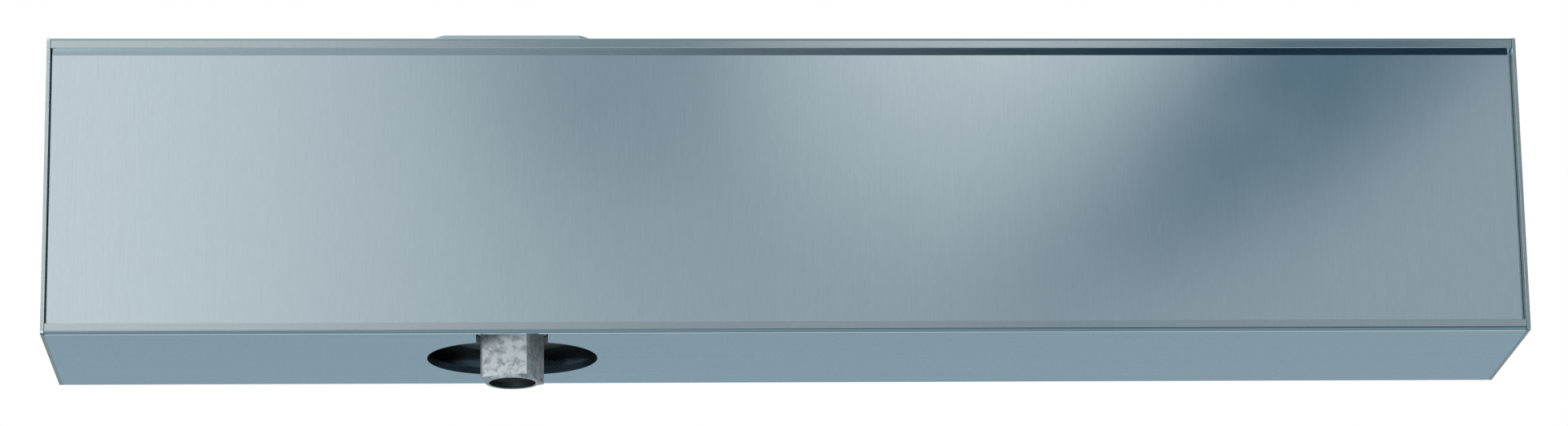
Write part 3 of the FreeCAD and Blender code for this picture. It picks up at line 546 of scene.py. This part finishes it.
def innerMaterial(name, s):
    material, tree, shader, place = startMaterial(name, {"Metallic": s["metal"]})
    spread = addNode(tree, "ShaderNodeMapping", {"Scale": perMm(*s["mark"])}, {"Vector": place})
    marks = addNode(tree, "ShaderNodeTexNoise", {"Scale": 1.0, "Detail": 3.0}, {"Vector": spread.outputs[0]})
    colour = addNode(tree, "ShaderNodeMix", {
        "data_type": "RGBA", 6: hexToLinear(s["darkColour"]), 7: hexToLinear(s["colour"])}, {
        0: marks.outputs["Fac"]})
    rough = addNode(tree, "ShaderNodeMapRange", {
        "To Min": s["roughness"] + innerWear, "To Max": s["roughness"] - innerWear}, {
        "Value": marks.outputs["Fac"]})
    finishMaterial(tree, shader, colour.outputs[2], rough.outputs[0], marks.outputs["Fac"], s["depth"])
    return material


innerMaterials = {}
for name, s in innerFinishes.items():
    innerMaterials[name] = innerMaterial(name, s)
    dress(innerMaterials[name], *s["on"])
print("inner pieces finished")


# closing springs: each is two lengths of one wire that meet at a fixed coil, set where the piston's share of
# the whole travel ends; both lengths are held by the housing

springs = {
    "outerSpring": {"node": "outer_spring", "coil": 13.5, "wire": 2.3, "turns": 13.0, "hand": 1,
                    "steps": 36, "sides": 12},
    "innerSpring": {"node": "inner_spring", "coil": 8.1, "wire": 1.5, "turns": 18.0, "hand": -1,
                    "steps": 32, "sides": 10},
}
springDrive = {
    "axisY": spindleAxis[1],   # the cylinder lies as deep in the case as the spindle
    "pistonTravel": joints["piston_slide"]["range_m"][1] / mm,
    "plateTravel": joints["spring_plate_slide"]["range_m"][1] / mm,
    "endGap": 0.05,
}


def springLength(name, s, start, pitch, first, last):
    # a round wire carried along a helix about X: the angle grows with u while x grows by one pitch a turn,
    # and the wire's circle lies square to the helix; both ends of the spring are ground flat
    u = np.linspace(first, last, int(round((last - first) * s["steps"])) + 1)[:, None]
    v = -s["hand"] * np.linspace(0, 2 * math.pi, s["sides"], endpoint=False)[None, :]
    angle = 2 * math.pi * u
    rise = math.atan2(pitch, 2 * math.pi * s["coil"])
    radius = s["coil"] + s["wire"] * np.cos(v)
    tilt = s["wire"] * np.sin(v)
    sideways = -tilt * math.sin(rise)
    x = start + pitch * u + tilt * math.cos(rise)
    y = springDrive["axisY"] + s["hand"] * (radius * np.sin(angle) + sideways * np.cos(angle))
    z = -(radius * np.cos(angle) - sideways * np.sin(angle))
    low, high = start + springDrive["endGap"], start + pitch * s["turns"] - springDrive["endGap"]
    points = np.stack([np.clip(x, low, high), y, z], axis=-1)
    return sweepPiece(name, points, innerMaterials["phosphatedWire"])


def makeSpring(name, s):
    low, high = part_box(s["node"])
    start = low[0] / mm
    length = high[0] / mm - start
    pitch = length / s["turns"]
    whole = springDrive["pistonTravel"] + springDrive["plateTravel"]
    fixedTurn = s["turns"] * springDrive["pistonTravel"] / whole
    for end, first, last, joint in (
            ("AtPiston", 0.0, fixedTurn, "piston_slide"),
            ("AtPlate", fixedTurn, s["turns"], "spring_plate_slide")):
        wire = springLength(name + end, s, start, pitch, first, last)
        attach(wire, "housing")
        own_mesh(wire)
        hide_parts(s["node"])


for name, s in springs.items():
    makeSpring(name, s)
print("springs made")


# floor

floorLook = {
    "colour": "#d2d7da",
    "roughness": 0.8,
    "gloss": 0.1,
    "height": -420.0,
    "radius": 1250.0,
    "clear": 300.0,           # the paint turns to white from here
    "gone": 900.0,            # to here
    "sides": 96,
}


def shownWhite(tree, back):
    # how far a ray shows the white backdrop: the camera's all round, a mirrored or passed one at the back
    path = addNode(tree, "ShaderNodeLightPath")
    shiny = addNode(tree, "ShaderNodeMath", {"operation": "MAXIMUM"}, {
        0: path.outputs["Is Glossy Ray"], 1: path.outputs["Is Transmission Ray"]})
    shinyBack = addNode(tree, "ShaderNodeMath", {"operation": "MULTIPLY"}, {0: shiny.outputs[0], 1: back})
    either = addNode(tree, "ShaderNodeMath", {"operation": "MAXIMUM"}, {
        0: path.outputs["Is Camera Ray"], 1: shinyBack.outputs[0]})
    return either.outputs[0]


def makeFloor(s):
    # a round table: pale paint near the object, where its shadow falls, and plain white further out
    turn = np.linspace(0, 2 * math.pi, s["sides"], endpoint=False)
    ring = np.column_stack([np.cos(turn), np.sin(turn)]) * s["radius"]
    points = np.column_stack([ring, np.full(s["sides"], s["height"])]) * mm
    mesh = bpy.data.meshes.new("paleFloor")
    mesh.from_pydata(points.tolist(), [], [tuple(range(s["sides"]))])
    floor = bpy.data.objects.new("paleFloor", mesh)
    bpy.context.scene.collection.objects.link(floor)
    material, tree, shader, place = startMaterial("paleFloorPaint", {
        "Base Color": hexToLinear(s["colour"]), "Roughness": s["roughness"],
        "Specular IOR Level": s["gloss"]})
    flat = addNode(tree, "ShaderNodeVectorMath", {"operation": "MULTIPLY", 1: (1, 1, 0)}, {0: place})
    away = addNode(tree, "ShaderNodeVectorMath", {"operation": "LENGTH"}, {0: flat.outputs[0]})
    far = addNode(tree, "ShaderNodeMapRange", {
        "interpolation_type": "SMOOTHSTEP", "From Min": s["clear"], "From Max": s["gone"]}, {
        "Value": away.outputs["Value"]})
    back = addNode(tree, "ShaderNodeMapRange", {"From Max": s["clear"]}, {
        "Value": addNode(tree, "ShaderNodeSeparateXYZ", {}, {0: place}).outputs["Y"]})
    share = addNode(tree, "ShaderNodeMath", {"operation": "MULTIPLY"}, {
        0: far.outputs[0], 1: shownWhite(tree, back.outputs[0])})
    white = addNode(tree, "ShaderNodeEmission", {"Color": (1, 1, 1, 1), "Strength": 1.0})
    blend = addNode(tree, "ShaderNodeMixShader", {}, {
        0: share.outputs[0], 1: shader.outputs[0], 2: white.outputs[0]})
    output = next(n for n in tree.nodes if n.type == "OUTPUT_MATERIAL")
    tree.links.new(blend.outputs[0], output.inputs["Surface"])
    mesh.materials.append(material)


makeFloor(floorLook)


# the studio: soft light and dark gaps in front of the panel, placed in mm where the panel mirrors them

studio = {
    "dark": "#386377",
    "bright": "#fcf9f8",
    "lowDark": "#203847",
    "panelDistance": 1131.5,   # roughly camera to panel: it turns a direction into a place there
    "panelShift": (-59.4, -314.4),   # the camera's place across and up
    "base": 0.4,
    "leftGain": 0.5,           # a wide soft box stands on the left
    "leftSpan": (0.0, -200.0),
    # place, reach, turn in degrees and gain of each soft patch
    "patches": [
        ((-40, 60), (60, 100), 0, -0.3),    # dark gap over the middle
        ((50, 60), (100, 100), -45, 0.5),   # soft box right of it, leaning
        ((120, 30), (120, 40), 40, -0.5),   # dark gap that slants down from the right corner
    ],
    "rightFade": (210.0, 420.0),   # dark beyond the right end
    "lowEdge": (-180.0, -330.0),   # below this the front of the room is dark on the right
    "lowSpan": (90.0, -190.0),
    "lowLevel": (0.0, 0.8),
    "behind": 0.6,                 # level of the room behind the object
    "frontSpan": (0.05, 0.3),      # how far forward a ray points where the front starts, and is full
}


def makeStudio(s):
    world = bpy.data.worlds.new("studio")
    bpy.context.scene.world = world
    world.use_nodes = True
    tree = world.node_tree
    tree.nodes.clear()
    coordinates = addNode(tree, "ShaderNodeTexCoord")
    way = addNode(tree, "ShaderNodeSeparateXYZ", {}, {0: coordinates.outputs["Generated"]})
    toFront = addNode(tree, "ShaderNodeMath", {"operation": "MULTIPLY", 1: -1.0}, {0: way.outputs["Y"]})
    start, full = s["frontSpan"]
    depth = addNode(tree, "ShaderNodeMath", {"operation": "MAXIMUM", 1: start}, {0: toFront.outputs[0]})
    spread = []
    for axis, shift in zip("XZ", s["panelShift"]):
        share = addNode(tree, "ShaderNodeMath", {"operation": "DIVIDE"}, {
            0: way.outputs[axis], 1: depth.outputs[0]})
        spread.append(addNode(tree, "ShaderNodeMath", {
            "operation": "MULTIPLY_ADD", 1: s["panelDistance"], 2: shift}, {0: share.outputs[0]}).outputs[0])
    across, up = spread
    sheet = addNode(tree, "ShaderNodeCombineXYZ", {}, {"X": across, "Y": up})
    level = addNode(tree, "ShaderNodeMapRange", {
        "interpolation_type": "SMOOTHSTEP", "From Min": s["leftSpan"][0], "From Max": s["leftSpan"][1],
        "To Min": s["base"], "To Max": s["base"] + s["leftGain"]}, {"Value": across}).outputs[0]
    for (x, z), (wide, tall), turn, gain in s["patches"]:
        fit = addNode(tree, "ShaderNodeMapping", {
            "vector_type": "TEXTURE", "Location": (x, z, 0), "Rotation": (0, 0, math.radians(turn)),
            "Scale": (wide, tall, 1)}, {"Vector": sheet.outputs[0]})
        spot = addNode(tree, "ShaderNodeTexGradient", {"gradient_type": "SPHERICAL"}, {
            "Vector": fit.outputs[0]})
        soft = addNode(tree, "ShaderNodeMapRange", {"interpolation_type": "SMOOTHSTEP", "To Max": gain}, {
            "Value": spot.outputs["Fac"]})
        level = addNode(tree, "ShaderNodeMath", {"operation": "ADD"}, {
            0: level, 1: soft.outputs[0]}).outputs[0]
    fade = addNode(tree, "ShaderNodeMapRange", {
        "interpolation_type": "SMOOTHSTEP", "From Min": s["rightFade"][0], "From Max": s["rightFade"][1],
        "To Min": 1.0, "To Max": 0.0}, {"Value": across})
    level = addNode(tree, "ShaderNodeMath", {"operation": "MULTIPLY"}, {
        0: level, 1: fade.outputs[0]}).outputs[0]
    isLow = addNode(tree, "ShaderNodeMapRange", {
        "interpolation_type": "SMOOTHSTEP", "From Min": s["lowEdge"][0], "From Max": s["lowEdge"][1]}, {
        "Value": up})
    low = addNode(tree, "ShaderNodeMapRange", {
        "interpolation_type": "SMOOTHSTEP", "From Min": s["lowSpan"][0], "From Max": s["lowSpan"][1],
        "To Min": s["lowLevel"][0], "To Max": s["lowLevel"][1]}, {"Value": across})
    inFront = addNode(tree, "ShaderNodeMapRange", {"From Min": start, "From Max": full}, {
        "Value": toFront.outputs[0]})
    whole = addNode(tree, "ShaderNodeMix", {"data_type": "FLOAT", 2: s["behind"]}, {
        0: inFront.outputs[0], 3: level})
    high = addNode(tree, "ShaderNodeMix", {
        "data_type": "RGBA", 6: hexToLinear(s["dark"]), 7: hexToLinear(s["bright"])}, {0: whole.outputs[0]})
    lowFront = addNode(tree, "ShaderNodeMix", {
        "data_type": "RGBA", 6: hexToLinear(s["lowDark"]), 7: hexToLinear(s["bright"])}, {0: low.outputs[0]})
    lowShare = addNode(tree, "ShaderNodeMath", {"operation": "MULTIPLY"}, {
        0: isLow.outputs[0], 1: inFront.outputs[0]})
    colour = addNode(tree, "ShaderNodeMix", {"data_type": "RGBA"}, {
        0: lowShare.outputs[0], 6: high.outputs[2], 7: lowFront.outputs[2]})
    behind = addNode(tree, "ShaderNodeMath", {"operation": "SUBTRACT", 0: 1.0}, {1: inFront.outputs[0]})
    shown = addNode(tree, "ShaderNodeMix", {"data_type": "RGBA", 7: (1, 1, 1, 1)}, {
        0: shownWhite(tree, behind.outputs[0]), 6: colour.outputs[2]})
    back = addNode(tree, "ShaderNodeBackground", {"Strength": 1.0}, {"Color": shown.outputs[2]})
    addNode(tree, "ShaderNodeOutputWorld", {}, {"Surface": back.outputs[0]})


makeStudio(studio)


# lamps: a key from the upper left, a weak fill from the right, and a low one far in front for the underside

lamps = {
    "keyLamp": {"place": (-900, -1300, 1100), "size": 0.9, "power": 14.0},
    "fillLamp": {"place": (1300, -900, 500), "size": 1.2, "power": 4.0},
    "lowLamp": {"place": (-970, -2610, -690), "size": 0.6, "power": 36.0},
}


def makeLamp(name, s):
    data = bpy.data.lights.new(name, "AREA")
    data.energy = s["power"]
    data.size = s["size"]
    lamp = bpy.data.objects.new(name, data)
    bpy.context.scene.collection.objects.link(lamp)
    place = Vector(s["place"]) * mm
    lamp.matrix_world = Matrix.Translation(place) @ (-place).to_track_quat("-Z", "Y").to_matrix().to_4x4()
    lamp.visible_camera = False


for name, s in lamps.items():
    makeLamp(name, s)
bpy.context.scene.view_settings.view_transform = "Standard"
print("studio lit")
